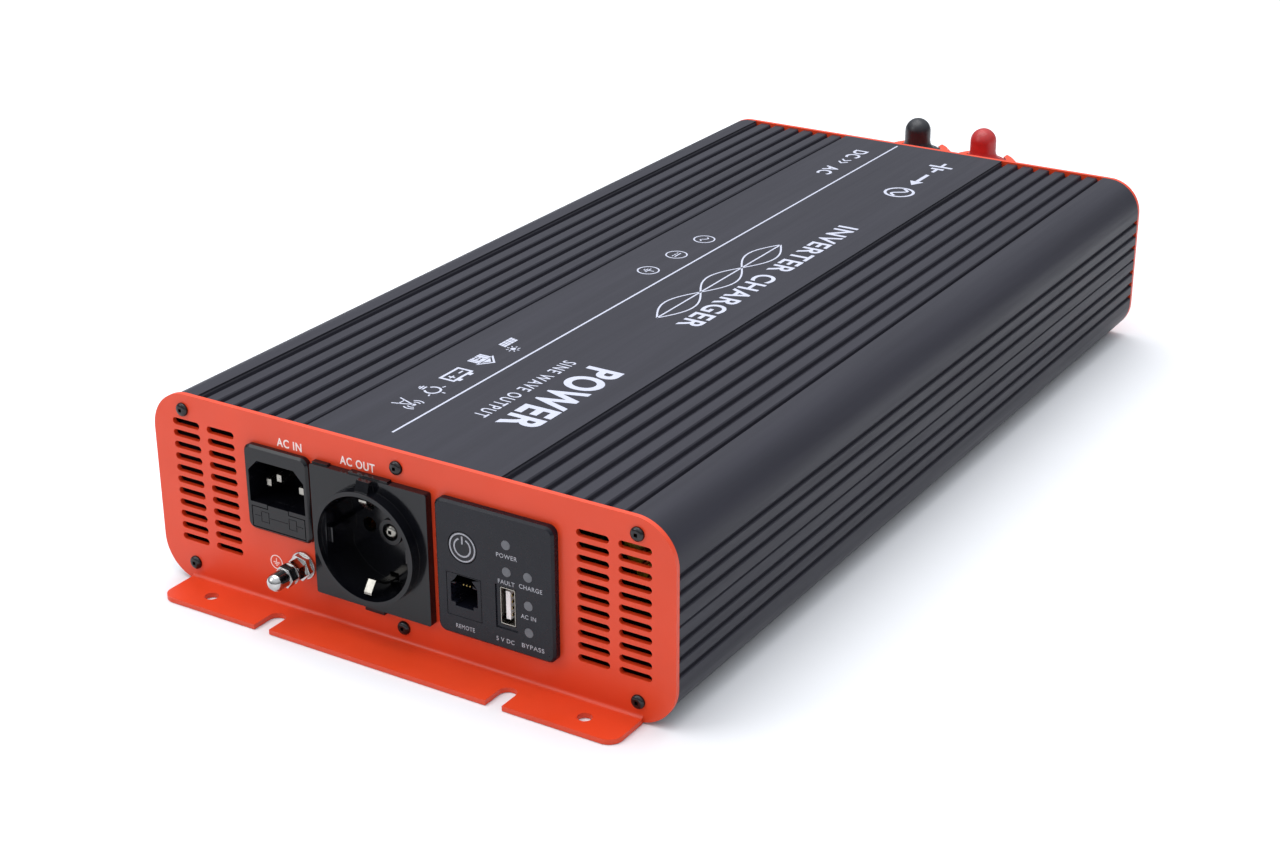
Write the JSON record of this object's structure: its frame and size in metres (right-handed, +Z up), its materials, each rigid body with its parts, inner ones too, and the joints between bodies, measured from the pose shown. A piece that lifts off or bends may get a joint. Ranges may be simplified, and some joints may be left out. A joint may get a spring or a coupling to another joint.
{
  "type": "power inverter",
  "caption": "Low power inverter: ribbed black case, orange end plates with mounting flanges, mains inlet, round-recess outlet, remote panel, earth stud and capped battery terminals.",
  "frame": {"origin": "centre of the overall box on the ground plane, under the flanges", "axes": "+X to the right seen from the front, +Y from the front plate to the rear plate, +Z up"},
  "size_m": [0.21, 0.46, 0.0748],
  "materials": {
    "case_black": "anodised black, satin",
    "plate_orange": "fine powder coat, satin",
    "screw_black": "black zinc",
    "socket_black": "fine moulded grain",
    "panel_black": "fine moulded grain",
    "button_black": "smooth satin",
    "nickel": "nickel plated",
    "brass": "satin",
    "bolt_steel": "bright zinc plate",
    "usb_white": "satin",
    "gold_contact": "bright",
    "light_pipe": "smoked diffuser",
    "led_body": "clear",
    "board_green": "solder mask",
    "block_orange": "moulded, satin",
    "boot_black": "soft vinyl, satin",
    "boot_red": "soft vinyl, satin",
    "fan_black": "satin",
    "guard_steel": "bright plated wire",
    "copper": "enamelled wire",
    "ferrite": "sintered, dull",
    "core_yellow": "epoxy coat",
    "tape_yellow": "polyester tape",
    "can_blue": "shrink sleeve",
    "can_green": "shrink sleeve",
    "sink_grey": "as extruded",
    "chip_black": "epoxy",
    "fuse_glass": "glass with end caps",
    "fuse_green": "translucent",
    "lead_brown": "vinyl insulation",
    "lead_blue": "vinyl insulation",
    "lead_green": "vinyl insulation"
  },
  "bodies": {
    "chassis": {"upper_shell": "case_black", "lower_shell": "case_black", "front_plate": "plate_orange", "rear_plate": "plate_orange", "front_screws": "screw_black", "rear_screws": "screw_black", "inlet_body": "socket_black", "inlet_pins": "nickel", "outlet_front": "socket_black", "outlet_carrier": "socket_black", "outlet_contacts": "brass", "outlet_earth_clips": "nickel", "outlet_screw": "nickel", "panel_bezel": "panel_black", "panel_board": "board_green", "push_switch": "chip_black", "light_pipes": "light_pipe", "status_leds": "led_body", "remote_jack": "panel_black", "jack_contacts": "gold_contact", "usb_shell": "nickel", "usb_tongue": "usb_white", "usb_contacts": "gold_contact", "earth_stud": "bolt_steel", "earth_nuts": "bolt_steel", "earth_washers": "bolt_steel", "earth_cap_nut": "bolt_steel", "terminal_block_neg": "block_orange", "terminal_block_pos": "block_orange", "busbar_neg": "brass", "busbar_pos": "brass", "terminal_studs": "brass", "terminal_nuts": "bolt_steel", "fan_frames": "fan_black", "fan_coils": "copper", "fan_guards": "guard_steel", "fan_screws": "screw_black", "main_board": "board_green", "control_board": "board_green", "transformer_cores": "ferrite", "transformer_windings": "tape_yellow", "bus_capacitors": "can_blue", "input_capacitors": "can_green", "heat_sinks": "sink_grey", "power_transistors": "chip_black", "choke_core": "core_yellow", "choke_winding": "copper", "relays": "chip_black", "blade_fuses": "fuse_green", "live_leads": "lead_brown", "neutral_leads": "lead_blue", "earth_leads": "lead_green"},
    "fuse_tray": {"fuse_drawer": "socket_black", "drawer_fuses": "fuse_glass"},
    "button": {"power_button": "button_black"},
    "rotor_left": {"fan_rotor_left": "fan_black"},
    "rotor_right": {"fan_rotor_right": "fan_black"},
    "cap_neg": {"boot_neg": "boot_black"},
    "cap_pos": {"boot_pos": "boot_red"}
  },
  "joints": [
    {"name": "drawer_pull", "type": "slide", "parent": "chassis", "child": "fuse_tray", "axis": [0, -1, 0], "range_m": [0, 0.022]},
    {"name": "button_press", "type": "slide", "parent": "chassis", "child": "button", "axis": [0, 1, 0], "range_m": [0, 0.0005], "stiffness_N_per_m": 2000},
    {"name": "fan_left_spin", "type": "hinge", "parent": "chassis", "child": "rotor_left", "pos_m": [-0.061, 0.1732, 0.036], "axis": [0, 1, 0], "continuous": true},
    {"name": "fan_right_spin", "type": "hinge", "parent": "chassis", "child": "rotor_right", "pos_m": [0.061, 0.1732, 0.036], "axis": [0, 1, 0], "continuous": true},
    {"name": "cap_neg_lift", "type": "slide", "parent": "chassis", "child": "cap_neg", "axis": [0, 0, 1], "range_m": [0, 0.015]},
    {"name": "cap_pos_lift", "type": "slide", "parent": "chassis", "child": "cap_pos", "axis": [0, 0, 1], "range_m": [0, 0.015]}
  ]
}
